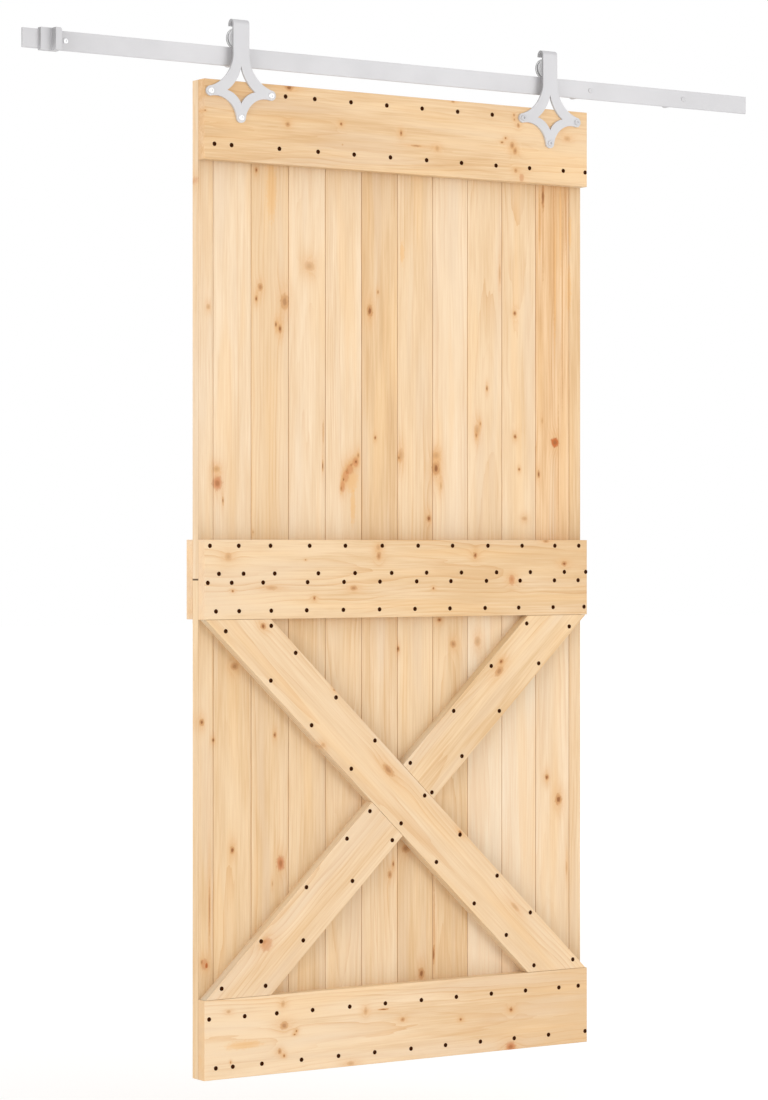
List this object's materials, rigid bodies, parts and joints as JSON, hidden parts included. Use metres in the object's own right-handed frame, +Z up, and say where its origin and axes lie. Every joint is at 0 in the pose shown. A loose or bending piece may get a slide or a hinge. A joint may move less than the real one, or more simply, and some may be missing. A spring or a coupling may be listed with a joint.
{
  "type": "sliding barn door on a flat wall rail",
  "caption": "Tall pine plank door with battens and a cross brace, hung by star-shaped strap hangers with grooved wheels from a flat steel wall rail.",
  "frame": {"origin": "on the rear face of the second wall spacer, straight below its hole, in the plane of the wall", "axes": "+X along the rail to the right as seen from the room, +Y into the wall, +Z up"},
  "size_m": [1.893, 0.0937, 2.231],
  "materials": {
    "pine_board": "planed, unfinished",
    "pine_batten": "planed, unfinished",
    "painted_steel": "satin powder coat",
    "axle_steel": "turned",
    "wheel": "moulded"
  },
  "bodies": {
    "rail": {"rail_bar": "painted_steel", "wall_spacer_1": "painted_steel", "wall_spacer_2": "painted_steel", "wall_spacer_3": "painted_steel", "wall_spacer_4": "painted_steel", "end_stop": "painted_steel"},
    "door": {"upper_board_01": "pine_board", "upper_board_02": "pine_board", "upper_board_03": "pine_board", "upper_board_04": "pine_board", "upper_board_05": "pine_board", "upper_board_06": "pine_board", "upper_board_07": "pine_board", "upper_board_08": "pine_board", "upper_board_09": "pine_board", "upper_board_10": "pine_board", "upper_board_11": "pine_board", "upper_board_12": "pine_board", "lower_board_01": "pine_board", "lower_board_02": "pine_board", "lower_board_03": "pine_board", "lower_board_04": "pine_board", "lower_board_05": "pine_board", "lower_board_06": "pine_board", "lower_board_07": "pine_board", "lower_board_08": "pine_board", "lower_board_09": "pine_board", "lower_board_10": "pine_board", "lower_board_11": "pine_board", "lower_board_12": "pine_board", "top_batten": "pine_batten", "middle_batten": "pine_batten", "bottom_batten": "pine_batten", "back_batten": "pine_batten", "long_brace": "pine_batten", "upper_short_brace": "pine_batten", "lower_short_brace": "pine_batten", "left_hanger": "painted_steel", "right_hanger": "painted_steel", "left_axle": "axle_steel", "right_axle": "axle_steel"},
    "left_wheel": {"left_wheel": "wheel"},
    "right_wheel": {"right_wheel": "wheel"}
  },
  "joints": [
    {"name": "door_slide", "type": "slide", "parent": "rail", "child": "door", "axis": [1, 0, 0], "range_m": [-0.398, 0.53]},
    {"name": "left_wheel_spin", "type": "hinge", "parent": "door", "child": "left_wheel", "pos_m": [-0.0175, -0.0675, 0.04843], "axis": [0, 1, 0], "range_deg": [-1240, 1640]},
    {"name": "right_wheel_spin", "type": "hinge", "parent": "door", "child": "right_wheel", "pos_m": [0.7885, -0.0675, 0.04843], "axis": [0, 1, 0], "range_deg": [-1240, 1640]}
  ],
  "couplings": [
    {"joint": "left_wheel_spin", "follows": "door_slide", "rad_per_m": 51.282},
    {"joint": "right_wheel_spin", "follows": "door_slide", "rad_per_m": 51.282}
  ]
}
